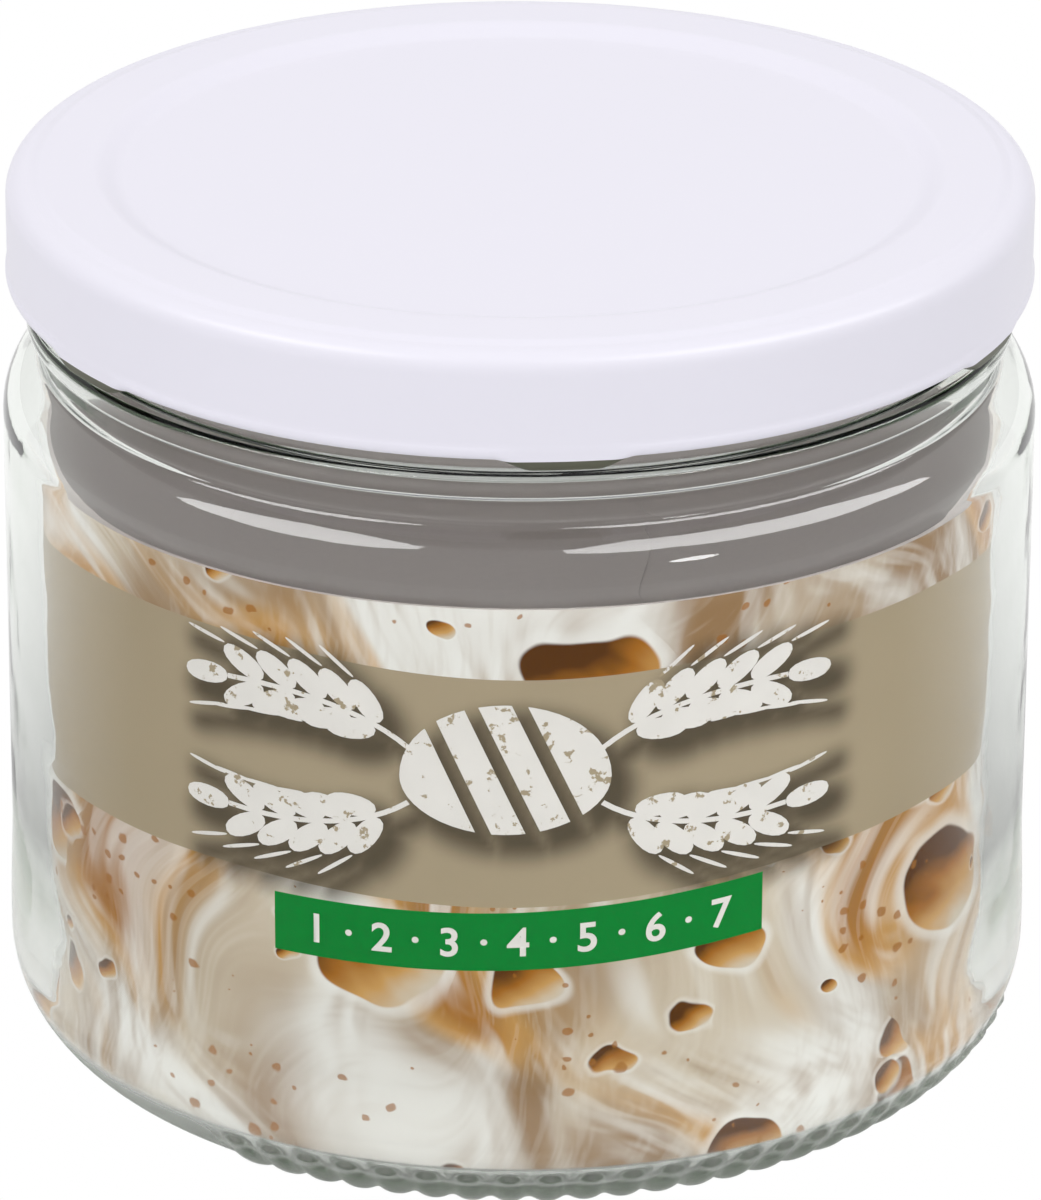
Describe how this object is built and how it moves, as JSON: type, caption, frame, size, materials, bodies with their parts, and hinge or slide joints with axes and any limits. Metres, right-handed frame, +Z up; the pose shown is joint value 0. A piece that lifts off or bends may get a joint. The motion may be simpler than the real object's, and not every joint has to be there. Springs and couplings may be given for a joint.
{
  "type": "starter jar",
  "caption": "Short wide clear glass jar with a twist-off sheet-metal lid, a sealing ring and a printed card sleeve rolled up inside the glass.",
  "frame": {"origin": "middle of the ring that the jar stands on, in the plane of that ring", "axes": "+Z up along the jar's axis, -Y to the front of the printed sleeve, +X to the right seen from the front"},
  "size_m": [0.0866, 0.0866, 0.0769],
  "materials": {
    "clear_glass": "clear, fire-polished",
    "printed_card": "offset print, matt",
    "lid_lacquer": "glossy lacquered tinplate",
    "sealing_compound": "soft moulded compound"
  },
  "bodies": {
    "jar": {"glass_jar": "clear_glass", "insert_sleeve": "printed_card"},
    "lid_seal": {"sealing_ring": "sealing_compound"},
    "lid": {"lid_shell": "lid_lacquer"}
  },
  "joints": [
    {"name": "lid_lift", "type": "slide", "parent": "jar", "child": "lid_seal", "axis": [0, 0, 1], "range_m": [0, 0.06]},
    {"name": "lid_twist", "type": "hinge", "parent": "lid_seal", "child": "lid", "pos_m": [0, 0, 0.076], "axis": [0, 0, 1], "range_deg": [-38, 0]}
  ]
}
